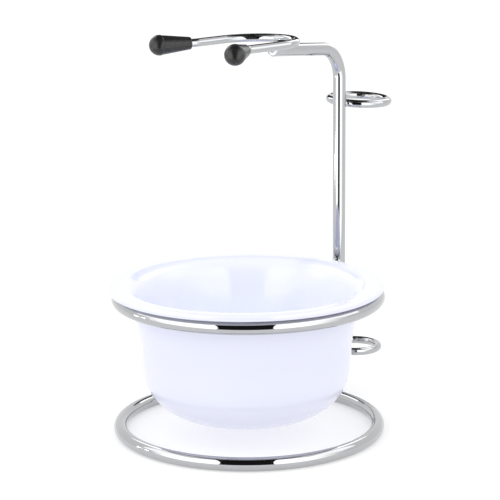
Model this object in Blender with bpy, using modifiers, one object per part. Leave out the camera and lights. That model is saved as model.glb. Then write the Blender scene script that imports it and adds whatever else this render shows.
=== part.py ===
"""Shaving stand with its bowl: a chrome wire stand that holds a bowl, a brush and a razor.

The stand is welded from wire.  A thick base ring lies on the surface.  A post of the same
wire stands behind it, with its foot bent forward to the base ring and its top bent forward
into an arm.  A second thick ring, joined to the post by a short stub, carries the bowl by
its rim.  A thin-wire fork for the brush lies across the end of the arm, with a rubber tip
on each leg, and two thin-wire loops behind the post take the razor.

Metres, +Z up.  The post stands towards +Y and the fork opens towards -Y.  The origin is at
the middle of the assembly's footprint, on the surface that the base ring rests on.
"""
import math

import bmesh
import bpy
from mathutils import Matrix, Vector

# ---------------------------------------------------------------- driving dimensions
GAP = 0.0003                        # clearance left between pieces that touch

THICK_WIRE = 0.0050                 # diameter of the rings' and the post's wire
THIN_WIRE = 0.0031                  # diameter of the fork's and the loops' wire
RING_RADIUS = 0.0483                # centreline radius of both thick rings
BOWL_RING_Z = 0.0519                # height of the bowl ring's centreline

POST_Y = 0.0604                     # post's distance behind the rings' axis
ARM_START_Z = 0.1381                # arm's height where it leaves the post
ARM_RISE = 0.0034                   # how much the arm climbs on its way forward
ARM_END_Y = 0.0160                  # arm's end, measured from the rings' axis
TOP_BEND = 0.0125                   # centreline radius of the post's upper bend
FOOT_BEND = 0.0075                  # centreline radius of the post's lower bend

FORK_RADIUS = 0.0160                # centreline radius of the fork's round back
FORK_CENTRE_Y = 0.0034
FORK_LEGS = {-1: 0.0120, 1: 0.0152}  # straight part of the left and of the right leg
FORK_FLARES = {-1: math.radians(20), 1: math.radians(32)}     # how far their ends turn outward
FORK_FLARE_BEND = 0.0050
FORK_TURN = math.radians(-11.5)     # the fork is welded on turned about its own centre
FORK_SINK = math.radians(1.2)       # and with its legs leaning down a little
FORK_TAIL = 0.0012                  # straight wire left bare between the bend and the tip

TIP_LENGTH = 0.0158
TIP_RADIUS = 0.00375                # of the dome, and of the collar below it
TIP_MOUTH_RADIUS = 0.0023           # where the wire enters
TIP_MOUTH_BEVEL = 0.0002
TIP_COLLAR_HEIGHT = 0.0006
TIP_COLLAR_STEP = 0.0002            # how far the collar stands out from the taper
TIP_BORE_DEPTH = 0.0118

UPPER_LOOP_RADIUS = 0.0116
UPPER_LOOP_Z = 0.1166
UPPER_LOOP_TURN = math.radians(5)   # swung about the post, away from the centre plane
UPPER_LOOP_ROLL = math.radians(3)   # and rolled about the line from the post
LOWER_LOOP_RADIUS = 0.0093
LOWER_LOOP_Z = 0.0160
LOWER_LOOP_TURN = math.radians(5)

BOWL_PLAY = 0.0014                  # the bowl hangs this far forward in its ring
BOWL_BODY_RADIUS = 0.0392           # at the shoulder
BOWL_SHOULDER_Z = 0.0324            # where the rounded bottom ends and the wall begins to widen
BOWL_BOTTOM_Z = 0.0049
BOWL_FOOT_RADIUS = 0.0150
BOWL_RIM_RADIUS = 0.05115
BOWL_WALL = 0.0030
BOWL_RIM_THICKNESS = 0.0024
BOWL_ROUNDNESS = 2.8                # exponent of the bottom's superellipse
RIM_COVE = ((0.0462, 0.0), (0.0448, 0.0007), (0.0434, 0.0023), (0.0425, 0.0046),
            (0.0416, 0.0082), (0.0410, 0.0111), (0.0403, 0.0143), (0.0397, 0.0175),
            (0.0393, 0.0202))                        # radius, drop from the rim's underside
RIM_FLARE = ((0.0363, 0.0226), (0.0367, 0.0199), (0.0373, 0.0167), (0.0382, 0.0124),
             (0.0393, 0.0077), (0.0409, 0.0036), (0.0432, 0.0012), (0.0460, 0.0002),
             (0.0490, 0.0))                          # radius, drop from the rim's top

BASE_BEAD = (0.0036, 0.0018, 0.0027)                 # half sizes of the weld beads
BASE_BEAD_LIFT = 0.0012             # it is laid on the upper side of the butted wires
STUB_BEAD = (0.0034, 0.0017, 0.0034)
FORK_BEAD = (0.0030, 0.0030, 0.0015)
LOOP_BEAD = (0.0030, 0.0015, 0.0028)

CUTTER_OVERRUN = 0.002              # a wire's cutter runs on past the wire's ends
MERGE = 1e-5                        # merging distance of turned pieces
RING_SEGMENTS = 64
RING_SIDES = 10                     # gives a flat facet straight below the wire's centre
LOOP_SEGMENTS = 40
LOOP_SIDES = 8
BOWL_SEGMENTS = 48
TIP_SEGMENTS = 24

# ---------------------------------------------------------------- derived places
THICK = THICK_WIRE / 2
THIN = THIN_WIRE / 2
BASE_Z = THICK * math.cos(math.pi / RING_SIDES)      # its lowest facet is at z = 0
ARM_SLOPE = math.atan2(ARM_RISE, POST_Y - ARM_END_Y)
FORK_BACK_Y = FORK_CENTRE_Y + FORK_RADIUS
ARM_Z_AT_FORK = ARM_START_Z + (POST_Y - FORK_BACK_Y) * math.tan(ARM_SLOPE)
FORK_Z = ARM_Z_AT_FORK + THICK / math.cos(ARM_SLOPE) + THIN + GAP
RIM_UNDERSIDE_Z = BOWL_RING_Z + THICK + GAP
RIM_TOP_Z = RIM_UNDERSIDE_Z + BOWL_RIM_THICKNESS

COLOURS = {                         # base colour, metallic, roughness
    "chrome": ((0.60, 0.61, 0.62), 1.0, 0.06),
    "weld": ((0.56, 0.57, 0.58), 1.0, 0.18),
    "rubber": ((0.030, 0.031, 0.034), 0.0, 0.55),
    "porcelain": ((0.90, 0.90, 0.96), 0.0, 0.08),
}


# ---------------------------------------------------------------- helpers
def clear_scene():
    for obj in list(bpy.data.objects):
        bpy.data.objects.remove(obj, do_unlink=True)


def make_collection(name):
    collection = bpy.data.collections.new(name)
    bpy.context.scene.collection.children.link(collection)
    return collection


def make_material(node_name, kind):
    """A Principled material of this piece's own."""
    colour, metallic, roughness = COLOURS[kind]
    material = bpy.data.materials.new(node_name + "_" + kind)
    material.use_nodes = True
    shader = material.node_tree.nodes["Principled BSDF"]
    shader.inputs["Base Color"].default_value = (*colour, 1.0)
    shader.inputs["Metallic"].default_value = metallic
    shader.inputs["Roughness"].default_value = roughness
    return material


def add_mesh(name, mesh, kind, collection):
    obj = bpy.data.objects.new(name, mesh)
    collection.objects.link(obj)
    mesh.materials.append(make_material(name, kind))
    for polygon in mesh.polygons:
        polygon.use_smooth = True
    return obj


def torus_mesh(name, major_radius, minor_radius, segments, sides):
    """A wire ring in the XY plane, as a mesh."""
    bpy.ops.mesh.primitive_torus_add(
        major_radius=major_radius, minor_radius=minor_radius,
        major_segments=segments, minor_segments=sides)
    obj = bpy.context.active_object
    mesh = obj.data
    mesh.name = name
    bpy.data.objects.remove(obj, do_unlink=True)
    return mesh


def wire_mesh(name, points, radius, resolution=2):
    """A capped round wire along a list of points, as one closed mesh."""
    curve = bpy.data.curves.new(name, "CURVE")
    curve.dimensions = "3D"
    curve.bevel_depth = radius
    curve.bevel_resolution = resolution
    curve.use_fill_caps = True
    spline = curve.splines.new("POLY")
    spline.points.add(len(points) - 1)
    for spot, point in zip(spline.points, points):
        spot.co = (*point, 1.0)
    obj = bpy.data.objects.new(name + "_curve", curve)
    bpy.context.scene.collection.objects.link(obj)
    depsgraph = bpy.context.evaluated_depsgraph_get()
    mesh = bpy.data.meshes.new_from_object(obj.evaluated_get(depsgraph))
    mesh.name = name
    bpy.data.objects.remove(obj, do_unlink=True)
    bpy.data.curves.remove(curve)
    work = bmesh.new()
    work.from_mesh(mesh)
    bmesh.ops.remove_doubles(work, verts=work.verts, dist=MERGE)
    bmesh.ops.recalc_face_normals(work, faces=work.faces)
    work.to_mesh(mesh)
    work.free()
    mesh.materials.clear()
    return mesh


def arc(centre, start, sweep, radius, steps):
    """Points of an arc in a plane, from the angle start through sweep."""
    angles = [start + sweep * step / steps for step in range(steps + 1)]
    return [Vector((centre[0] + radius * math.cos(a), centre[1] + radius * math.sin(a)))
            for a in angles]


def rounded_path(corners, radii, steps=8):
    """The polyline through the corners, each inner corner rounded with its own radius."""
    path = [corners[0]]
    for before, corner, after, radius in zip(corners, corners[1:], corners[2:], radii):
        back = (before - corner).normalized()
        ahead = (after - corner).normalized()
        half = back.angle(ahead) / 2
        centre = corner + (back + ahead).normalized() * radius / math.sin(half)
        first = corner + back * radius / math.tan(half) - centre
        last = corner + ahead * radius / math.tan(half) - centre
        turn = math.pi - 2 * half
        for step in range(steps + 1):
            t = step / steps
            path.append(centre + (first * math.sin((1 - t) * turn)
                                  + last * math.sin(t * turn)) / math.sin(turn))
    path.append(corners[-1])
    return path


def turned(name, profile, kind, segments, collection):
    """A turned piece about its own Z axis; the profile runs down the outer side."""
    mesh = bpy.data.meshes.new(name)
    edges = [(i, i + 1) for i in range(len(profile) - 1)]
    mesh.from_pydata([(r, 0.0, z) for r, z in profile], edges, [])
    obj = add_mesh(name, mesh, kind, collection)
    screw = obj.modifiers.new("turn", "SCREW")
    screw.axis = "Z"
    screw.angle = math.tau
    screw.steps = segments
    screw.render_steps = segments
    screw.use_merge_vertices = True
    screw.merge_threshold = MERGE
    return obj


def add_cutter(name, mesh, matrix, collection):
    obj = bpy.data.objects.new(name, mesh)
    collection.objects.link(obj)
    obj.matrix_world = matrix
    obj.hide_render = True
    obj.display_type = "WIRE"
    return obj


def bead(name, centre, radii, rotation, cutters, parts):
    """A weld bead: an ellipsoid with room cut out of it for the wires that it joins."""
    mesh = bpy.data.meshes.new(name)
    work = bmesh.new()
    bmesh.ops.create_uvsphere(work, u_segments=16, v_segments=10, radius=1.0)
    bmesh.ops.scale(work, vec=radii, verts=work.verts)
    work.to_mesh(mesh)
    work.free()
    obj = add_mesh(name, mesh, "weld", parts)
    obj.location = centre
    obj.rotation_euler = rotation
    for cutter in cutters:
        cut = obj.modifiers.new("room_for_" + cutter.name, "BOOLEAN")
        cut.operation = "DIFFERENCE"
        cut.solver = "EXACT"
        cut.object = cutter
    return obj


# ---------------------------------------------------------------- the welded stand
def make_rings(parts, cutters):
    """The base ring and the bowl ring, with the room that each takes out of its welds."""
    room = {}
    for name, height in (("base_ring", BASE_Z), ("bowl_ring", BOWL_RING_Z)):
        mesh = torus_mesh(name, RING_RADIUS, THICK, RING_SEGMENTS, RING_SIDES)
        ring = add_mesh(name, mesh, "chrome", parts)
        ring.location.z = height
        swollen = torus_mesh(name + "_room", RING_RADIUS, THICK + GAP,
                             RING_SEGMENTS, RING_SIDES)
        room[name] = add_cutter(name + "_room", swollen,
                                Matrix.Translation((0, 0, height)), cutters)
    return room


def make_post(parts, cutters):
    """The upright, with its foot bent forward to the base ring and its top into the arm."""
    foot_end = RING_RADIUS + THICK + GAP
    corners = [Vector((0, ARM_END_Y, ARM_START_Z + ARM_RISE)),
               Vector((0, POST_Y, ARM_START_Z)),
               Vector((0, POST_Y, BASE_Z)),
               Vector((0, foot_end, BASE_Z))]
    path = rounded_path(corners, (TOP_BEND, FOOT_BEND))
    add_mesh("post", wire_mesh("post", path, THICK, 3), "chrome", parts)
    corners[0] += Vector((0, -CUTTER_OVERRUN, CUTTER_OVERRUN * math.tan(ARM_SLOPE)))
    corners[-1] += Vector((0, -CUTTER_OVERRUN, 0))
    swollen = wire_mesh("post_room", rounded_path(corners, (TOP_BEND, FOOT_BEND)),
                        THICK + GAP, 3)
    return add_cutter("post_room", swollen, Matrix.Identity(4), cutters)


def make_stub(parts, cutters):
    """The short straight wire that joins the bowl ring to the post."""
    near = RING_RADIUS + THICK + GAP
    far = POST_Y - THICK - GAP
    ends = [Vector((0, near, BOWL_RING_Z)), Vector((0, far, BOWL_RING_Z))]
    add_mesh("bowl_ring_stub", wire_mesh("bowl_ring_stub", ends, THICK, 3), "chrome", parts)
    swollen = wire_mesh("stub_room", ends, THICK + GAP, 3)
    return add_cutter("stub_room", swollen, Matrix.Identity(4), cutters)


def loop_matrix(radius, height, turn, roll):
    """Where a razor loop lies: touching the back of the post, swung and rolled a little."""
    reach = THICK + GAP + THIN + radius
    return (Matrix.Translation((0, POST_Y, height)) @ Matrix.Rotation(turn, 4, "Z")
            @ Matrix.Translation((0, reach, 0)) @ Matrix.Rotation(roll, 4, "Y"))


def make_loop(name, radius, height, turn, roll, parts, cutters):
    matrix = loop_matrix(radius, height, turn, roll)
    mesh = torus_mesh(name, radius, THIN, LOOP_SEGMENTS, LOOP_SIDES)
    add_mesh(name, mesh, "chrome", parts).matrix_world = matrix
    swollen = torus_mesh(name + "_room", radius, THIN + GAP, LOOP_SEGMENTS, LOOP_SIDES)
    return add_cutter(name + "_room", swollen, matrix, cutters)


# ---------------------------------------------------------------- the brush fork
def fork_leg(side):
    """Centreline of one half of the fork in its own plane, from the back to the tip."""
    flare = FORK_FLARES[side]
    points = [Vector((side * p.x, p.y))
              for p in arc((0, 0), math.pi / 2, -math.pi / 2, FORK_RADIUS, 10)]
    bend_x = FORK_RADIUS + FORK_FLARE_BEND
    bend = arc((bend_x, -FORK_LEGS[side]), math.pi, flare, FORK_FLARE_BEND, 5)
    points += [Vector((side * p.x, p.y)) for p in bend]
    heading = Vector((side * math.sin(flare), -math.cos(flare)))
    mouth = points[-1] + heading * FORK_TAIL
    points.append(mouth + heading * (TIP_BORE_DEPTH - GAP))
    return points, mouth, heading


def fork_matrix():
    """Where the fork lies: its back stays on the arm while its legs turn and sink."""
    return (Matrix.Translation((0, FORK_CENTRE_Y, FORK_Z))
            @ Matrix.Rotation(FORK_TURN, 4, "Z")
            @ Matrix.Translation((0, FORK_RADIUS, 0))
            @ Matrix.Rotation(FORK_SINK, 4, "X")
            @ Matrix.Translation((0, -FORK_RADIUS, 0)))


def make_fork(parts, cutters):
    right, _, _ = fork_leg(1)
    left, _, _ = fork_leg(-1)
    path = [Vector((p.x, p.y, 0)) for p in list(reversed(left)) + right[1:]]
    add_mesh("brush_fork", wire_mesh("brush_fork", path, THIN, 2), "chrome",
             parts).matrix_world = fork_matrix()
    swollen = wire_mesh("fork_room", path, THIN + GAP, 2)
    return add_cutter("fork_room", swollen, fork_matrix(), cutters)


def make_tip(name, side, parts):
    """A rubber tip pushed over a leg: domed end, small collar, taper and a blind bore."""
    dome_z = TIP_LENGTH - TIP_RADIUS
    dome = [(TIP_RADIUS * math.cos(a), dome_z + TIP_RADIUS * math.sin(a))
            for a in (math.radians(90 - 15 * step) for step in range(7))]
    collar_z = dome_z - TIP_COLLAR_HEIGHT
    bore = THIN + GAP
    profile = dome + [(TIP_RADIUS, collar_z),
                      (TIP_RADIUS - TIP_COLLAR_STEP, collar_z - TIP_COLLAR_STEP),
                      (TIP_MOUTH_RADIUS, TIP_MOUTH_BEVEL),
                      (TIP_MOUTH_RADIUS - TIP_MOUTH_BEVEL, 0.0),
                      (bore, 0.0), (bore, TIP_BORE_DEPTH), (0.0, TIP_BORE_DEPTH)]
    tip = turned(name, profile, "rubber", TIP_SEGMENTS, parts)
    _, mouth, heading = fork_leg(side)
    along = Vector((heading.x, heading.y, 0)).to_track_quat("Z", "Y").to_matrix().to_4x4()
    tip.matrix_world = fork_matrix() @ Matrix.Translation((*mouth, 0)) @ along


# ---------------------------------------------------------------- the bowl
def rounded_bottom(radius, depth, steps):
    """Quarter of a superellipse, from the axis out and up to the shoulder."""
    spots = []
    for step in range(steps + 1):
        a = math.radians(90) * step / steps
        spots.append((radius * math.sin(a) ** (2 / BOWL_ROUNDNESS),
                      BOWL_SHOULDER_Z - depth * math.cos(a) ** (2 / BOWL_ROUNDNESS)))
    return spots


def bowl_profile():
    """Half section of the bowl, down the outer side and back up the inner side."""
    depth = BOWL_SHOULDER_Z - BOWL_BOTTOM_Z
    lip = BOWL_RIM_THICKNESS / 2
    edge = [(BOWL_RIM_RADIUS - lip + lip * math.cos(a), RIM_UNDERSIDE_Z + lip + lip * math.sin(a))
            for a in (math.radians(90 - 30 * step) for step in range(7))]
    cove = [(radius, RIM_UNDERSIDE_Z - drop) for radius, drop in RIM_COVE]
    outer = [spot for spot in reversed(rounded_bottom(BOWL_BODY_RADIUS, depth, 12))
             if spot[0] > BOWL_FOOT_RADIUS]
    foot = [(BOWL_FOOT_RADIUS, BOWL_BOTTOM_Z), (0.0, BOWL_BOTTOM_Z)]
    inner = rounded_bottom(BOWL_BODY_RADIUS - BOWL_WALL, depth - BOWL_WALL, 10)
    flare = [(radius, RIM_TOP_Z - drop) for radius, drop in RIM_FLARE]
    return edge + cove + outer + foot + inner + flare


def make_bowl(parts):
    profile = bowl_profile()
    bowl = turned("bowl", profile + profile[:1], "porcelain", BOWL_SEGMENTS, parts)
    bowl.location.y = -BOWL_PLAY
    return bowl


# ---------------------------------------------------------------- the welds
def make_welds(rings, post, stub, fork, loops, parts):
    flat = (0, 0, 0)
    bead("base_ring_weld", (0, RING_RADIUS + THICK, BASE_Z + BASE_BEAD_LIFT), BASE_BEAD,
         flat, (rings["base_ring"], post), parts)
    bead("stub_front_weld", (0, RING_RADIUS + THICK, BOWL_RING_Z), STUB_BEAD,
         flat, (rings["bowl_ring"], stub), parts)
    bead("stub_back_weld", (0, POST_Y - THICK, BOWL_RING_Z), STUB_BEAD,
         flat, (post, stub), parts)
    bead("fork_weld", (0, FORK_BACK_Y, FORK_Z - THIN), FORK_BEAD,
         (-ARM_SLOPE, 0, 0), (post, fork), parts)
    for name, height, turn in (("upper_loop", UPPER_LOOP_Z, UPPER_LOOP_TURN),
                               ("lower_loop", LOWER_LOOP_Z, LOWER_LOOP_TURN)):
        place = (Matrix.Translation((0, POST_Y, height)) @ Matrix.Rotation(turn, 4, "Z")
                 @ Vector((0, THICK, 0)))
        bead(name + "_weld", place, LOOP_BEAD, (0, 0, turn), (post, loops[name]), parts)


def centre_on_origin(parts, cutters):
    """Slide everything so that the origin is at the middle of the assembly's footprint."""
    bpy.context.view_layer.update()
    depsgraph = bpy.context.evaluated_depsgraph_get()
    ys = []
    for obj in parts.objects:
        seen = obj.evaluated_get(depsgraph)
        ys += [(obj.matrix_world @ vertex.co).y for vertex in seen.data.vertices]
    shift = Matrix.Translation((0, -(min(ys) + max(ys)) / 2, 0))
    for obj in list(parts.objects) + list(cutters.objects):
        obj.matrix_world = shift @ obj.matrix_world


def build():
    clear_scene()
    parts = make_collection("shaving_bowl_stand")
    cutters = make_collection("cutters")
    rings = make_rings(parts, cutters)
    post = make_post(parts, cutters)
    stub = make_stub(parts, cutters)
    loops = {
        "upper_loop": make_loop("upper_razor_loop", UPPER_LOOP_RADIUS, UPPER_LOOP_Z,
                                UPPER_LOOP_TURN, UPPER_LOOP_ROLL, parts, cutters),
        "lower_loop": make_loop("lower_razor_loop", LOWER_LOOP_RADIUS, LOWER_LOOP_Z,
                                LOWER_LOOP_TURN, 0.0, parts, cutters),
    }
    fork = make_fork(parts, cutters)
    make_tip("rubber_tip_right", 1, parts)
    make_tip("rubber_tip_left", -1, parts)
    make_bowl(parts)
    make_welds(rings, post, stub, fork, loops, parts)
    centre_on_origin(parts, cutters)


build()
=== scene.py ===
"""Looks of the shaving bowl and its chrome wire stand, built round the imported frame.

Every piece here is a smooth, finely meshed version of the CAD piece of the same place and
size: wires swept along their centrelines, weld fillets grown from the wires that they join,
turned rubber tips and a turned bowl.  Metres, +Z up, the post towards +Y.
"""
import math

import bpy
import numpy as np
from mathutils import Matrix, Vector


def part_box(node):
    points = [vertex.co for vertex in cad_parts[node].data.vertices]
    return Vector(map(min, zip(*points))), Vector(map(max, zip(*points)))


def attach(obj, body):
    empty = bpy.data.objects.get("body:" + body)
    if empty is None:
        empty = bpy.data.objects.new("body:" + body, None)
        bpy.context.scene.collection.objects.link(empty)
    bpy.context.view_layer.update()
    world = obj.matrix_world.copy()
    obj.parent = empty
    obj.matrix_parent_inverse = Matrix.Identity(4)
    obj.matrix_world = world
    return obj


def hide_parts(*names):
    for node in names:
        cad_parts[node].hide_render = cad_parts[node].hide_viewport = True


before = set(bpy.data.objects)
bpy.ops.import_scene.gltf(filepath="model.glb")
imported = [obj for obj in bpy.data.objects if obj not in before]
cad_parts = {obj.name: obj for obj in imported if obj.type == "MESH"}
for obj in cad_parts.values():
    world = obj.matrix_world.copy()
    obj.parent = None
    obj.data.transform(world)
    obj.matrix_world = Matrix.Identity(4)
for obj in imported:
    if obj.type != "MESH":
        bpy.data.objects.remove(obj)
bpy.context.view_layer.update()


# ---------------------------------------------------------------- places, from the frame
def middle(node):
    low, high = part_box(node)
    return (low + high) / 2


def half(node):
    low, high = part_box(node)
    return (high - low) / 2


GAP = 0.0003                                        # room that the CAD leaves at each joint
THICK = half("post").x                              # radius of the thick wire
THIN = half("lower_razor_loop").z                   # radius of the thin wire
RING_RADIUS = half("base_ring").x - THICK
AXIS_Y = middle("base_ring").y                      # the rings' common axis
BOWL_RING_Z = middle("bowl_ring").z
STUB_Y = (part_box("bowl_ring_stub")[0].y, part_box("bowl_ring_stub")[1].y)
POST_Y = STUB_Y[1] + GAP + THICK
FORK_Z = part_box("brush_fork")[1].z - THIN           # of its back, where it lies on the arm
BOWL_AXIS = Vector((0, middle("bowl").y, 0))
RIM_TOP_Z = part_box("bowl")[1].z
RIM_RADIUS = half("bowl").x
BOWL_BOTTOM_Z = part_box("bowl")[0].z
UPPER_LOOP, LOWER_LOOP = middle("upper_razor_loop"), middle("lower_razor_loop")

# ---------------------------------------------------------------- shapes, as in the CAD
ARM_END_Y = AXIS_Y + 0.0160
ARM_START_Z = 0.1381
ARM_RISE = 0.0034                                   # from the post to the arm's free end
TOP_BEND = 0.0125
FOOT_BEND = 0.0075
FORK_RADIUS = 0.0160
FORK_CENTRE_Y = AXIS_Y + 0.0034
FORK_LEGS = {-1: 0.0120, 1: 0.0152}                 # left and right
FORK_FLARES = {-1: math.radians(20), 1: math.radians(32)}
FORK_FLARE_BEND = 0.0050
FORK_TURN = math.radians(-11.5)
FORK_SINK = math.radians(1.2)
FORK_TAIL = 0.0012                                  # bare wire from the bend to a tip
FORK_PLACE = (Matrix.Translation((0, FORK_CENTRE_Y, FORK_Z))
              @ Matrix.Rotation(FORK_TURN, 4, "Z")
              @ Matrix.Translation((0, FORK_RADIUS, 0)) @ Matrix.Rotation(FORK_SINK, 4, "X")
              @ Matrix.Translation((0, -FORK_RADIUS, 0)))
TIP_LENGTH = 0.0158
TIP_RADIUS = 0.00375
TIP_MOUTH_RADIUS = 0.0023
TIP_COLLAR_HEIGHT = 0.0006
TIP_COLLAR_STEP = 0.0002
TIP_BORE_DEPTH = 0.0118
UPPER_LOOP_RADIUS = 0.01156
UPPER_LOOP_ROLL = math.radians(3)
LOWER_LOOP_RADIUS = 0.0093
BOWL_BODY_RADIUS = 0.0392
BOWL_SHOULDER_Z = 0.0324
BOWL_FOOT_RADIUS = 0.0150
BOWL_WALL = 0.0030
BOWL_RIM_THICKNESS = 0.0024
BOWL_ROUNDNESS = 2.8
RIM_COVE = ((0.0462, 0.0), (0.0448, 0.0007), (0.0434, 0.0023), (0.0425, 0.0046),
            (0.0416, 0.0082), (0.0410, 0.0111), (0.0403, 0.0143), (0.0397, 0.0175),
            (0.0393, 0.0202))                       # radius, drop from the rim's underside
RIM_FLARE = ((0.0363, 0.0226), (0.0367, 0.0199), (0.0373, 0.0167), (0.0382, 0.0124),
             (0.0393, 0.0077), (0.0409, 0.0036), (0.0432, 0.0012), (0.0460, 0.0002),
             (0.0490, 0.0))                         # radius, drop from the rim's top
FOOT_RECESS = 0.0006                                # the foot is a ring round a shallow dish

WELD_REACH = 0.0048                                 # a fillet's furthest point from its joint
WELD_GRID = 0.00018                                 # size of a fillet's quads
WELD_SKIN = 4e-5                                    # depth of a fillet's edge under the wires
WELD_SINK = 5e-4                                    # extra depth at the end of its reach
END_BLEND, CROSS_BLEND, LOOP_BLEND = 0.0020, 0.0014, 0.0021   # how far wires melt together
FLOOR_CLEARANCE = 2e-5

# ---------------------------------------------------------------- surroundings
VIEW_AZIMUTH = math.radians(36.7)     # the camera stands this far round from -Y towards +X
VIEW_PITCH = math.radians(12.11)
VIEW_ROLL = math.radians(-0.45)
VIEW_DISTANCE = 13.5 * RING_RADIUS
VIEW_HEIGHT = 4.326 * RING_RADIUS
VIEW_ASIDE = 0.017 * RING_RADIUS      # and a little to the right of the axis
VIEW_LENS = 130.03
VIEW_BACK = Vector((math.sin(VIEW_AZIMUTH), -math.cos(VIEW_AZIMUTH), 0))   # to the camera
VIEW_RIGHT = Vector((math.cos(VIEW_AZIMUTH), math.sin(VIEW_AZIMUTH), 0))
UP = Vector((0, 0, 1))

# The tent that the chrome reflects, in degrees: bright boxes stand beside a dark seam, which
# runs up from the floor below the camera and down the back, and a dark flag hangs overhead.
SEAM = (-22.0, 18.0)
BACK_SEAM = 17.0
FRONT_FOOT = -14.0
FRONT_TOP = 62.0
BACK_TOP = 118.0
FRONT_BOX, BACK_BOX, SIDE_BOX, SEAM_GLOW = 2.4, 2.3, 2.0, 0.015
TENT_CENTRE = Vector((0, AXIS_Y, 0.05))
TENT_RADIUS = 0.33
FRONT_RADIUS = 0.25
FRONT_DROP = 0.040                    # from the tent's centre to where a panel turns level
FLAG_HEIGHT = 0.36
FLAG_RADIUS = 0.155

FLOOR_RADIUS = 7.0
WORLD_GLOW = 1.01
LAMP_TARGET = Vector((0, AXIS_Y, 0.04))
LAMPS = (("key", "AREA", (-0.70, -0.75, 0.60), 0.6, 0.6),     # name, kind, place, size, watts
         ("top", "AREA", (0.10, -0.25, 0.75), 0.5, 0.8),
         ("inside", "SPOT", (0.02, -0.06, 0.55), 0.03, 9.0))
SPOT_CONE = math.radians(8.4)         # the spot reaches only the bowl's inside
SPOT_BLEND = 0.7


# ---------------------------------------------------------------- node helpers
def new_material(name):
    material = bpy.data.materials.new(name)
    material.use_nodes = True
    nodes, links = material.node_tree.nodes, material.node_tree.links
    return material, nodes, links, nodes["Principled BSDF"]


def noise(nodes, links, scale, detail):
    """Noise in the row frame, so it stays put on the piece."""
    texture = nodes.new("ShaderNodeTexNoise")
    texture.inputs["Scale"].default_value = scale
    texture.inputs["Detail"].default_value = detail
    links.new(nodes.new("ShaderNodeTexCoord").outputs["Object"], texture.inputs["Vector"])
    return texture.outputs["Fac"]


def blend_colours(nodes, links, factor, first, second):
    mix = nodes.new("ShaderNodeMix")
    mix.data_type = "RGBA"
    links.new(factor, mix.inputs["Factor"])
    mix.inputs["A"].default_value = (*first, 1.0)
    mix.inputs["B"].default_value = (*second, 1.0)
    return mix.outputs["Result"]


def spread(nodes, links, factor, low, high):
    """A noise, mostly between 0.3 and 0.7, spread over low to high."""
    remap = nodes.new("ShaderNodeMapRange")
    remap.inputs["From Min"].default_value = 0.3
    remap.inputs["From Max"].default_value = 0.7
    remap.inputs["To Min"].default_value = low
    remap.inputs["To Max"].default_value = high
    links.new(factor, remap.inputs["Value"])
    return remap.outputs["Result"]


def bumps(nodes, links, layers):
    """A chain of Bump nodes; each layer is a height and the depth of its full range."""
    normal = None
    for height, depth in layers:
        bump = nodes.new("ShaderNodeBump")
        bump.inputs["Distance"].default_value = depth
        links.new(height, bump.inputs["Height"])
        if normal is not None:
            links.new(normal, bump.inputs["Normal"])
        normal = bump.outputs["Normal"]
    return normal


# ---------------------------------------------------------------- materials
def chrome(name, rough, wave_depth, wave_size, pits):
    """Plated wire: a mirror with a slow waviness, fine polishing haze and faint pits.

    rough is the range of roughness; the waves' depth and size and the pits' depth are lengths.
    """
    material, nodes, links, shader = new_material(name)
    shader.inputs["Metallic"].default_value = 1.0
    haze = noise(nodes, links, 260, 3)
    links.new(blend_colours(nodes, links, haze, (0.455, 0.46, 0.47), (0.49, 0.495, 0.505)),
              shader.inputs["Base Color"])
    grain = noise(nodes, links, 1900, 4)
    links.new(spread(nodes, links, grain, *rough), shader.inputs["Roughness"])
    wave = noise(nodes, links, 1 / wave_size, 1)
    fine = noise(nodes, links, 5200, 2)
    links.new(bumps(nodes, links, [(wave, wave_depth), (fine, pits)]),
              shader.inputs["Normal"])
    return material


def rubber():
    """Moulded black rubber: a fine matt grain with slightly shinier, worn patches."""
    material, nodes, links, shader = new_material("tip_rubber")
    cloud = noise(nodes, links, 420, 3)
    links.new(blend_colours(nodes, links, cloud, (0.006, 0.006, 0.007), (0.013, 0.013, 0.014)),
              shader.inputs["Base Color"])
    patch = noise(nodes, links, 700, 4)
    links.new(spread(nodes, links, patch, 0.24, 0.36), shader.inputs["Roughness"])
    grain = noise(nodes, links, 6500, 3)
    swell = noise(nodes, links, 500, 1)
    links.new(bumps(nodes, links, [(swell, 6e-5), (grain, 1.6e-5)]),
              shader.inputs["Normal"])
    return material


def glaze():
    """Glossy white glaze: cool white, barely clouded, with a faint orange-peel ripple."""
    material, nodes, links, shader = new_material("bowl_glaze")
    cloud = noise(nodes, links, 45, 3)
    links.new(blend_colours(nodes, links, cloud, (0.795, 0.815, 0.96), (0.82, 0.84, 0.975)),
              shader.inputs["Base Color"])
    film = noise(nodes, links, 160, 3)
    links.new(spread(nodes, links, film, 0.07, 0.13), shader.inputs["Roughness"])
    ripple = noise(nodes, links, 170, 1)
    peel = noise(nodes, links, 900, 2)
    links.new(bumps(nodes, links, [(ripple, 3e-5), (peel, 2e-6)]), shader.inputs["Normal"])
    return material


def pale_floor():
    material, nodes, links, shader = new_material("stage_floor")
    cloud = noise(nodes, links, 9, 3)
    links.new(blend_colours(nodes, links, cloud, (0.54, 0.54, 0.545), (0.56, 0.56, 0.562)),
              shader.inputs["Base Color"])
    shader.inputs["Roughness"].default_value = 0.9
    shader.inputs["Specular IOR Level"].default_value = 0.1
    shader.inputs["Emission Color"].default_value = (1.0, 1.0, 1.0, 1.0)
    shader.inputs["Emission Strength"].default_value = 0.50
    return material


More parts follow.
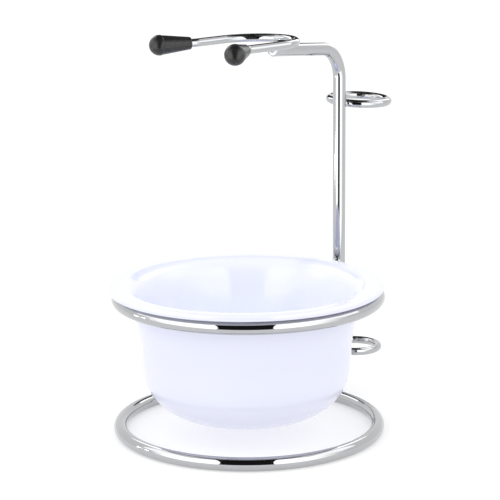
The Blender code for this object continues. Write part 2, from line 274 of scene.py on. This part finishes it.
def glow_material():
    """Emission whose strength is each vertex's own glow value."""
    material = bpy.data.materials.new("stage_glow")
    material.use_nodes = True
    nodes, links = material.node_tree.nodes, material.node_tree.links
    nodes.clear()
    strength = nodes.new("ShaderNodeAttribute")
    strength.attribute_name = "glow"
    emission = nodes.new("ShaderNodeEmission")
    output = nodes.new("ShaderNodeOutputMaterial")
    links.new(strength.outputs["Fac"], emission.inputs["Strength"])
    links.new(emission.outputs["Emission"], output.inputs["Surface"])
    return material


# ---------------------------------------------------------------- mesh helpers
def add_piece(name, vertices, faces, material):
    mesh = bpy.data.meshes.new(name)
    mesh.from_pydata([tuple(v) for v in vertices], [], [tuple(f) for f in faces])
    mesh.validate()
    mesh.shade_smooth()
    mesh.materials.append(material)
    piece = bpy.data.objects.new(name, mesh)
    bpy.context.scene.collection.objects.link(piece)
    return piece


def stands_for(piece, node, body):
    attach(piece, body)
    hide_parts(node)


def grid_faces(rows, columns, wrap_rows):
    """Quads between rows of vertices that each close on themselves."""
    faces = []
    for i in range(rows if wrap_rows else rows - 1):
        a, b = i * columns, (i + 1) % rows * columns
        for j in range(columns):
            k = (j + 1) % columns
            faces.append((a + j, a + k, b + k, b + j))
    return faces


def wire(name, path, plane, radius, material, closed=False, sides=40):
    """A round wire along a flat path whose plane has the normal plane.

    An open wire ends in flat cuts with a small rounded edge.
    """
    edge, steps = 0.22 * radius, 5
    count = len(path)
    stations = []
    for i, spot in enumerate(path):
        before = path[i - 1] if closed or i else path[0]
        after = path[(i + 1) % count] if closed or i < count - 1 else path[-1]
        stations.append((spot, (after - before).normalized(), radius))
    if not closed:
        for end, sign in ((0, 1), (-1, -1)):
            spot, heading, _ = stations[end]
            rounding = [(spot, heading, 0.5 * (radius - edge))]
            for step in range(steps + 1):
                a = math.radians(90) * step / steps
                inset = edge * (1 - math.cos(a))
                rounding.append((spot + sign * heading * inset, heading,
                                 radius - edge + edge * math.sin(a)))
            if end == 0:
                stations = rounding + stations[1:]
            else:
                stations = stations[:-1] + rounding[::-1]
    vertices = []
    for spot, heading, size in stations:
        out = plane.cross(heading).normalized()
        for side in range(sides):
            a = math.tau * side / sides
            vertices.append(spot + size * (math.cos(a) * out + math.sin(a) * plane))
    faces = grid_faces(len(stations), sides, closed)
    if not closed:
        last = (len(stations) - 1) * sides
        faces += [tuple(reversed(range(sides))), tuple(range(last, last + sides))]
    return add_piece(name, vertices, faces, material)


def arc(centre, start, sweep, radius, steps):
    """Points of an arc in the XY plane, from the angle start through sweep."""
    angles = [start + sweep * step / steps for step in range(steps + 1)]
    return [centre + radius * Vector((math.cos(a), math.sin(a), 0)) for a in angles]


def circle(centre, radius, turn, count):
    """A full circle as a matrix turn of the XY one, without its closing point."""
    return [centre + turn @ spot
            for spot in arc(Vector((0, 0, 0)), 0, math.tau, radius, count)[:-1]]


def straight(first, last, count):
    return [first.lerp(last, i / count) for i in range(count + 1)]


def rounded_path(corners, radii, steps=24, spacing=0.002):
    """The polyline through the corners, each inner corner rounded with its own radius."""
    path = [corners[0]]
    for before, corner, after, radius in zip(corners, corners[1:], corners[2:], radii):
        back = (before - corner).normalized()
        ahead = (after - corner).normalized()
        half_angle = back.angle(ahead) / 2
        centre = corner + (back + ahead).normalized() * radius / math.sin(half_angle)
        first = corner + back * radius / math.tan(half_angle) - centre
        last = corner + ahead * radius / math.tan(half_angle) - centre
        turn = math.pi - 2 * half_angle
        run = straight(path[-1], centre + first, int((centre + first - path[-1]).length
                                                     / spacing) + 1)
        path += run[1:-1]
        for step in range(steps + 1):
            t = step / steps
            path.append(centre + (first * math.sin((1 - t) * turn)
                                  + last * math.sin(t * turn)) / math.sin(turn))
    run = straight(path[-1], corners[-1], int((corners[-1] - path[-1]).length / spacing) + 1)
    return path + run[1:]


def smooth_run(points, steps=6):
    """A Catmull-Rom curve through (radius, height) points."""
    spots = [Vector(p) for p in points]
    spots = [2 * spots[0] - spots[1]] + spots + [2 * spots[-1] - spots[-2]]
    run = []
    for a, b, c, d in zip(spots, spots[1:], spots[2:], spots[3:]):
        for step in range(steps):
            t = step / steps
            run.append(0.5 * (2 * b + (c - a) * t + (2 * a - 5 * b + 4 * c - d) * t ** 2
                              + (3 * b - a - 3 * c + d) * t ** 3))
    return [tuple(p) for p in run + [spots[-2]]]


def revolve(name, profile, place, segments, material):
    """A turned piece; the profile runs from the axis, down the outer side, to the axis."""
    vertices = [place @ Vector((0, 0, profile[0][1]))]
    rings = profile[1:-1]
    for radius, height in rings:
        for segment in range(segments):
            a = math.tau * segment / segments
            vertices.append(place @ Vector((radius * math.cos(a), radius * math.sin(a),
                                            height)))
    vertices.append(place @ Vector((0, 0, profile[-1][1])))
    end = len(vertices) - 1
    faces = [tuple(1 + v for v in reversed(face))
             for face in grid_faces(len(rings), segments, False)]
    low = 1 + (len(rings) - 1) * segments
    for j in range(segments):
        k = (j + 1) % segments
        faces += [(0, 1 + j, 1 + k), (end, low + k, low + j)]
    return add_piece(name, vertices, faces, material)


# ---------------------------------------------------------------- distance fields for welds
def to_wire(path, radius):
    """Signed distance from points to a flat-ended wire along path."""
    spots = np.array([tuple(p) for p in path])
    starts, runs = spots[:-1], np.diff(spots, axis=0)
    lengths = np.linalg.norm(runs, axis=1)
    units = runs / lengths[:, None]

    def distance(points):
        best = np.full(len(points), np.inf)
        for i, (start, unit, length) in enumerate(zip(starts, units, lengths)):
            relative = points - start
            along = relative @ unit
            held = np.clip(along, 0, length)
            gap = np.linalg.norm(relative - held[:, None] * unit, axis=1) - radius
            beyond = np.zeros(len(points))
            if i == 0:
                beyond = np.maximum(beyond, -along)
            if i == len(starts) - 1:
                beyond = np.maximum(beyond, along - length)
            side = np.linalg.norm(relative - along[:, None] * unit, axis=1) - radius
            flat = np.where(beyond > 0, np.maximum(side, beyond), gap)
            best = np.minimum(best, flat)
        return best
    return distance


def to_ring(centre, turn, ring_radius, radius):
    """Signed distance from points to a wire ring."""
    centre, turn = np.array(tuple(centre)), np.array(turn)

    def distance(points):
        local = (points - centre) @ turn
        out = np.hypot(local[:, 0], local[:, 1]) - ring_radius
        return np.hypot(out, local[:, 2]) - radius
    return distance


def fillet_field(first, second, joint, blend):
    """Where two wires' surfaces melt together near the joint.

    Away from the fillet the field sinks below the wires' skin, so only the fillet shows.
    """
    joint = np.array(tuple(joint))
    sinks_from = 0.55 * WELD_REACH

    def field(points):
        a, b = first(points), second(points)
        share = np.clip(0.5 + 0.5 * (b - a) / blend, 0, 1)
        melted = b + (a - b) * share - blend * share * (1 - share)
        away = np.linalg.norm(points - joint, axis=1)
        end = np.clip((away - sinks_from) / (WELD_REACH - sinks_from), 0, 1)
        return np.maximum.reduce([melted + WELD_SKIN + WELD_SINK * end ** 2,
                                  away - WELD_REACH, FLOOR_CLEARANCE - points[:, 2]])
    return field


def skin_of(field, joint, reach, step):
    """The surface where a field is zero, as vertices and quads on a regular grid."""
    low = np.array(tuple(joint)) - reach - 2 * step
    count = int(2 * reach / step) + 5
    ticks = np.arange(count) * step
    grid = np.stack(np.meshgrid(*(low[i] + ticks for i in range(3)), indexing="ij"), -1)
    values = field(grid.reshape(-1, 3)).reshape(count, count, count)
    inside = values < 0
    cells = (count - 1,) * 3
    total, hits = np.zeros(cells + (3,)), np.zeros(cells)
    for axis in range(3):
        u, v = (axis + 1) % 3, (axis + 2) % 3
        for du in (0, 1):
            for dv in (0, 1):
                offset = np.zeros(3, int)
                offset[u], offset[v] = du, dv
                near = tuple(slice(o, o + count - 1) for o in offset)
                offset[axis] = 1
                far = tuple(slice(o, o + count - 1) for o in offset)
                crosses = inside[near] != inside[far]
                a, b = values[near], values[far]
                t = np.where(crosses, a / np.where(crosses, a - b, 1), 0)
                spot = grid[near] + 0.0
                spot[..., axis] += t * step
                total += np.where(crosses[..., None], spot, 0)
                hits += crosses
    used = hits > 0
    index = np.full(cells, -1)
    index[used] = np.arange(used.sum())
    vertices = total[used] / hits[used][:, None]
    faces = []
    for axis in range(3):
        u, v = (axis + 1) % 3, (axis + 2) % 3
        crosses = np.diff(inside.astype(int), axis=axis)
        for spot in np.argwhere(crosses):
            if spot[u] == 0 or spot[v] == 0:
                continue
            corners = []
            for du, dv in ((-1, -1), (0, -1), (0, 0), (-1, 0)):
                cell = spot.copy()
                cell[u] += du
                cell[v] += dv
                corners.append(int(index[tuple(cell)]))
            faces.append(corners if crosses[tuple(spot)] < 0 else corners[::-1])
    for _ in range(4):
        here = field(vertices)
        slope = np.stack([(field(vertices + nudge) - here) / 1e-6
                          for nudge in np.eye(3) * 1e-6], -1)
        vertices = vertices - slope * (here / (slope ** 2).sum(1).clip(0.25))[:, None]
    return vertices, faces


def weld(name, first, second, joint, blend, material):
    field = fillet_field(first, second, joint, blend)
    vertices, faces = skin_of(field, joint, WELD_REACH, WELD_GRID)
    piece = add_piece(name + "_fillet", vertices, faces, material)
    stands_for(piece, name, "stand")


# ---------------------------------------------------------------- the welded stand
def make_rings(material, distances):
    """Both thick rings; the base ring's lowest line touches the floor."""
    flat = Matrix.Identity(3)
    for node, height, slot in (("base_ring", THICK, "base_ring_chrome"),
                               ("bowl_ring", BOWL_RING_Z, "bowl_ring_chrome")):
        centre = Vector((0, AXIS_Y, height))
        path = circle(centre, RING_RADIUS, flat, 288)
        ring = wire(node + "_wire", path, Vector((0, 0, 1)), THICK, material, closed=True)
        stands_for(ring, node, "stand")
        distances[node] = to_ring(centre, flat, RING_RADIUS, THICK)


def make_post(material, distances):
    """Arm, post and foot as one bent wire."""
    foot_end = AXIS_Y + RING_RADIUS + THICK + GAP / 2
    corners = [Vector((0, ARM_END_Y, ARM_START_Z + ARM_RISE)),
               Vector((0, POST_Y, ARM_START_Z)),
               Vector((0, POST_Y, THICK)),
               Vector((0, foot_end, THICK))]
    bends = (TOP_BEND, FOOT_BEND)
    post = wire("post_wire", rounded_path(corners, bends), Vector((1, 0, 0)), THICK, material)
    stands_for(post, "post", "stand")
    distances["post"] = to_wire(rounded_path(corners, bends, 8, 1.0), THICK)


def make_stub(material, distances):
    ends = [Vector((0, y, BOWL_RING_Z)) for y in STUB_Y]
    stub = wire("bowl_ring_stub_wire", straight(*ends, 6), Vector((1, 0, 0)), THICK, material)
    stands_for(stub, "bowl_ring_stub", "stand")
    distances["stub"] = to_wire(ends, THICK)


def make_loop(node, centre, radius, roll, material, distances):
    turn = (Matrix.Rotation(math.atan2(-centre.x, centre.y - POST_Y), 3, "Z")
            @ Matrix.Rotation(roll, 3, "Y"))
    loop = wire(node + "_wire", circle(centre, radius, turn, 160), turn @ Vector((0, 0, 1)),
                THIN, material, closed=True, sides=32)
    stands_for(loop, node, "stand")
    distances[node] = to_ring(centre, turn, radius, THIN)


def fork_leg(side):
    """Centreline of one half of the fork in its own plane, and its tip's mouth and heading."""
    leg, flare = FORK_LEGS[side], FORK_FLARES[side]
    points = [Vector((side * p.x, p.y, 0))
              for p in arc(Vector((0, 0, 0)), math.pi / 2, -math.pi / 2, FORK_RADIUS, 40)]
    points += straight(points[-1], Vector((side * FORK_RADIUS, -leg, 0)), 8)[1:]
    bend = arc(Vector((FORK_RADIUS + FORK_FLARE_BEND, -leg, 0)), math.pi, flare,
               FORK_FLARE_BEND, 12)
    points += [Vector((side * p.x, p.y, 0)) for p in bend[1:]]
    heading = Vector((side * math.sin(flare), -math.cos(flare), 0))
    mouth = points[-1] + heading * FORK_TAIL
    points += straight(points[-1], mouth + heading * (TIP_BORE_DEPTH - GAP), 8)[1:]
    return points, mouth, heading


def make_fork(material, distances):
    left, right = fork_leg(-1)[0], fork_leg(1)[0]
    path = [FORK_PLACE @ p for p in left[::-1] + right[1:]]
    turn = FORK_PLACE.to_3x3()
    fork = wire("brush_fork_wire", path, turn @ Vector((0, 0, 1)), THIN, material, sides=32)
    stands_for(fork, "brush_fork", "stand")
    centre = FORK_PLACE @ Vector((0, 0, 0))
    distances["fork"] = to_ring(centre, turn, FORK_RADIUS, THIN)


def make_tip(node, side, material):
    """A rubber tip: dome, collar with a soft step, taper, rounded lip and a blind bore."""
    dome_z = TIP_LENGTH - TIP_RADIUS
    dome = [(TIP_RADIUS * math.cos(a), dome_z + TIP_RADIUS * math.sin(a))
            for a in (math.radians(90 - 5 * step) for step in range(19))]
    collar_z = dome_z - TIP_COLLAR_HEIGHT
    body = TIP_RADIUS - TIP_COLLAR_STEP
    step_soft = 0.00012
    collar = [(TIP_RADIUS, collar_z + step_soft), (TIP_RADIUS - 0.00004, collar_z),
              (TIP_RADIUS - 0.00014, collar_z - 0.00006), (body - 0.00004, collar_z - 0.0002),
              (body - 0.00006, collar_z - 0.0004)]
    lip = 0.00045
    taper = [(body + (TIP_MOUTH_RADIUS - body) * t, collar_z - 0.0004
              + (lip - collar_z + 0.0004) * t) for t in (0.04, 0.2, 0.4, 0.6, 0.8, 0.96)]
    mouth = [(TIP_MOUTH_RADIUS - lip + lip * math.cos(a), lip - lip * math.sin(a))
             for a in (math.radians(15 * step) for step in range(7))]
    bore = THIN + 0.00002
    inside = [(bore + 0.00008, 0.00002), (bore, 0.0001), (bore, TIP_BORE_DEPTH * 0.5),
              (bore, TIP_BORE_DEPTH), (0.0, TIP_BORE_DEPTH)]
    _, at, heading = fork_leg(side)
    along = heading.to_track_quat("Z", "Y").to_matrix().to_4x4()
    place = FORK_PLACE @ Matrix.Translation(at) @ along
    tip = revolve(node + "_moulding", dome + collar + taper + mouth + inside, place, 72,
                  material)
    stands_for(tip, node, "stand")


def make_welds(material, distances):
    """A fillet for each two wires that are welded, round the point between them."""
    front = Vector((0, AXIS_Y + RING_RADIUS + THICK, 0))
    rows = [("base_ring_weld", "base_ring", "post", front + Vector((0, 0, THICK)), END_BLEND),
            ("stub_front_weld", "bowl_ring", "stub", front + Vector((0, 0, BOWL_RING_Z)),
             END_BLEND),
            ("stub_back_weld", "post", "stub", Vector((0, POST_Y - THICK, BOWL_RING_Z)),
             END_BLEND),
            ("fork_weld", "post", "fork",
             Vector((0, FORK_CENTRE_Y + FORK_RADIUS, FORK_Z - THIN)), CROSS_BLEND)]
    for name, node, centre in (("upper_loop_weld", "upper_razor_loop", UPPER_LOOP),
                               ("lower_loop_weld", "lower_razor_loop", LOWER_LOOP)):
        away = Vector((centre.x, centre.y - POST_Y, 0)).normalized()
        joint = Vector((0, POST_Y, centre.z)) + away * THICK
        rows.append((name, "post", node, joint, LOOP_BLEND))
    for name, first, second, joint, blend in rows:
        weld(name, distances[first], distances[second], joint, blend, material)


# ---------------------------------------------------------------- the bowl
def rounded_bottom(radius, depth, steps):
    """Quarter of a superellipse, from the axis out and up to the shoulder."""
    spots = []
    for step in range(steps + 1):
        a = math.radians(90) * step / steps
        spots.append((radius * math.sin(a) ** (2 / BOWL_ROUNDNESS),
                      BOWL_SHOULDER_Z - depth * math.cos(a) ** (2 / BOWL_ROUNDNESS)))
    return spots


def make_bowl(material):
    """The bowl as one turned skin, with its rolled rim and its foot."""
    underside = RIM_TOP_Z - BOWL_RIM_THICKNESS
    depth = BOWL_SHOULDER_Z - BOWL_BOTTOM_Z
    lip = BOWL_RIM_THICKNESS / 2
    edge = [(RIM_RADIUS - lip + lip * math.cos(a), underside + lip + lip * math.sin(a))
            for a in (math.radians(90 - 10 * step) for step in range(19))]
    wall = rounded_bottom(BOWL_BODY_RADIUS, depth, 48)
    outer = [spot for spot in wall[::-1] if spot[0] > BOWL_FOOT_RADIUS + 0.0006]
    cove = smooth_run([(r, underside - drop) for r, drop in RIM_COVE] + [outer[0]])
    foot = [(BOWL_FOOT_RADIUS - inset, BOWL_BOTTOM_Z + rise)
            for inset, rise in ((0.0, 0.00008), (0.0004, 0.0), (0.0018, 0.0),
                                (0.0022, 0.2 * FOOT_RECESS), (0.0030, 0.8 * FOOT_RECESS),
                                (0.0040, FOOT_RECESS))]
    foot += [(0.0005, BOWL_BOTTOM_Z + FOOT_RECESS), (0.0, BOWL_BOTTOM_Z + FOOT_RECESS)]
    inner = rounded_bottom(BOWL_BODY_RADIUS - BOWL_WALL, depth - BOWL_WALL, 48)
    flare = smooth_run([inner[-1]] + [(r, RIM_TOP_Z - drop) for r, drop in RIM_FLARE])
    # one run from axis to axis: up the inner wall, over the rim and down to the foot
    run = inner + flare[1:] + edge + cove[1:] + outer[1:] + foot
    bowl = revolve("bowl_glazed", run, Matrix.Translation(BOWL_AXIS), 224, material)
    stands_for(bowl, "bowl", "bowl")


# ---------------------------------------------------------------- stage, light and camera
def glow_panel(name, vertices, faces, values, material):
    """A glowing stage piece, seen only in gloss; values are its vertices' brightness."""
    panel = add_piece(name, vertices, faces, material)
    attribute = panel.data.attributes.new("glow", "FLOAT", "POINT")
    attribute.data.foreach_set("value", values)
    panel.visible_camera = False
    panel.visible_diffuse = False
    panel.visible_transmission = False
    panel.visible_volume_scatter = False
    panel.visible_shadow = False


def arch_panel(name, lateral, pitch, glow, material):
    """A patch of a sphere round the stand.

    lateral is the angle out of the camera's upright plane, pitch the angle in it: 0 points
    at the camera, 90 up and 180 away.  glow is the patch's brightness, or a function of the
    lateral angle.  Close to the floor the patch turns in and runs level.
    """
    rows, columns = 25, 41
    radius = FRONT_RADIUS if pitch[0] < 0 else TENT_RADIUS
    vertices, values = [], []
    for i in range(rows):
        side = lateral[0] + (lateral[1] - lateral[0]) * i / (rows - 1)
        for j in range(columns):
            up = pitch[0] + (pitch[1] - pitch[0]) * j / (columns - 1)
            s, p = math.radians(side), math.radians(up)
            reach = min(radius, FRONT_DROP / max(1e-6, math.cos(s) * math.sin(-p)))
            ray = (math.sin(s) * VIEW_RIGHT + math.cos(s) * math.cos(p) * VIEW_BACK
                   + math.cos(s) * math.sin(p) * UP)
            vertices.append(TENT_CENTRE + reach * ray)
            values.append(glow(side) if callable(glow) else glow)
    faces = [(i * columns + j, i * columns + j + 1, (i + 1) * columns + j + 1,
              (i + 1) * columns + j) for i in range(rows - 1) for j in range(columns - 1)]
    glow_panel(name, vertices, faces, values, material)


def front_glow(side):
    """Brightness of the front boxes, which fade away to the sides, the right one sooner."""
    starts, ends, faded = (38 if side > 0 else 62), 84, 1.0
    t = min(1.0, max(0.0, (abs(side) - starts) / (ends - starts)))
    return FRONT_BOX + (faded - FRONT_BOX) * t * t * (3 - 2 * t)


def make_tent(material):
    left, right = SEAM
    front, over, behind = (FRONT_FOOT, FRONT_TOP), (FRONT_TOP, BACK_TOP), (BACK_TOP, 152)
    rows = (("stage_spot", (-76, -98), (-4, 32), 9.0),
            ("stage_box_left", (left, -84), front, front_glow),
            ("stage_box_right", (right, 84), front, front_glow),
            ("stage_seam", (left, right), (FRONT_FOOT, FRONT_TOP + 6), SEAM_GLOW),
            ("stage_side_left", (-40, -70), over, SIDE_BOX),
            ("stage_side_right", (40, 70), over, SIDE_BOX),
            ("stage_back_left", (-BACK_SEAM, -33), behind, BACK_BOX),
            ("stage_back_right", (BACK_SEAM, 33), behind, BACK_BOX),
            ("stage_back_seam", (-BACK_SEAM, BACK_SEAM), (BACK_TOP, 158), 2 * SEAM_GLOW))
    for name, lateral, pitch, glow in rows:
        arch_panel(name, lateral, pitch, glow, material)
    edge = circle(Vector((0, AXIS_Y, FLAG_HEIGHT)), FLAG_RADIUS, Matrix.Identity(3), 72)
    glow_panel("stage_flag", edge, [tuple(range(72))], [0.02] * 72, material)


def make_lamps():
    """Soft lamps that light the glaze and the floor but leave no spots in the chrome."""
    for name, kind, place, size, watts in LAMPS:
        light = bpy.data.lights.new(name, kind)
        light.energy = watts
        if kind == "SPOT":
            light.shadow_soft_size = size
            light.spot_size = SPOT_CONE
            light.spot_blend = SPOT_BLEND
        else:
            light.size = size
        lamp = bpy.data.objects.new(name, light)
        bpy.context.scene.collection.objects.link(lamp)
        lamp.location = place
        lamp.rotation_euler = (LAMP_TARGET - lamp.location).to_track_quat("-Z", "Y").to_euler()
        lamp.visible_glossy = False
        lamp.visible_camera = False


def make_stage():
    bpy.ops.mesh.primitive_circle_add(vertices=96, radius=FLOOR_RADIUS, fill_type="NGON")
    floor = bpy.context.active_object
    floor.name = "stage_floor"
    floor.data.materials.append(pale_floor())

    make_tent(glow_material())

    world = bpy.data.worlds.new("studio")
    bpy.context.scene.world = world
    world.use_nodes = True
    background = world.node_tree.nodes["Background"]
    background.inputs["Color"].default_value = (1.0, 1.0, 1.0, 1.0)
    background.inputs["Strength"].default_value = WORLD_GLOW

    make_lamps()


def make_camera():
    """Stands in front of the bowl and looks slightly down on it."""
    ahead = -VIEW_BACK * math.cos(VIEW_PITCH) - UP * math.sin(VIEW_PITCH)
    up = VIEW_RIGHT.cross(ahead)
    across = VIEW_RIGHT * math.cos(VIEW_ROLL) + up * math.sin(VIEW_ROLL)
    upright = up * math.cos(VIEW_ROLL) - VIEW_RIGHT * math.sin(VIEW_ROLL)
    data = bpy.data.cameras.new("camera")
    data.lens = VIEW_LENS
    data.sensor_width = 36.0
    data.clip_start = 0.01
    data.clip_end = 50.0
    camera = bpy.data.objects.new("camera", data)
    bpy.context.scene.collection.objects.link(camera)
    camera.matrix_world = Matrix((across, upright, -ahead)).transposed().to_4x4()
    camera.location = (Vector((0, AXIS_Y, VIEW_HEIGHT)) + VIEW_BACK * VIEW_DISTANCE
                       + VIEW_RIGHT * VIEW_ASIDE)
    bpy.context.scene.camera = camera


def build():
    """The stand's wires first, because the welds grow from their distance fields."""
    bright = chrome("stand_chrome", (0.025, 0.06), 1.6e-5, 0.006, 2.5e-7)
    ground = chrome("weld_chrome", (0.06, 0.13), 3.5e-5, 0.0016, 6e-7)
    distances = {}
    make_rings(bright, distances)
    make_post(bright, distances)
    make_stub(bright, distances)
    make_loop("upper_razor_loop", UPPER_LOOP, UPPER_LOOP_RADIUS, UPPER_LOOP_ROLL, bright,
              distances)
    make_loop("lower_razor_loop", LOWER_LOOP, LOWER_LOOP_RADIUS, 0.0, bright, distances)
    make_fork(bright, distances)
    black = rubber()
    make_tip("rubber_tip_right", 1, black)
    make_tip("rubber_tip_left", -1, black)
    make_welds(ground, distances)
    make_bowl(glaze())
    make_stage()
    make_camera()
    bpy.context.scene.view_settings.view_transform = "Standard"


build()
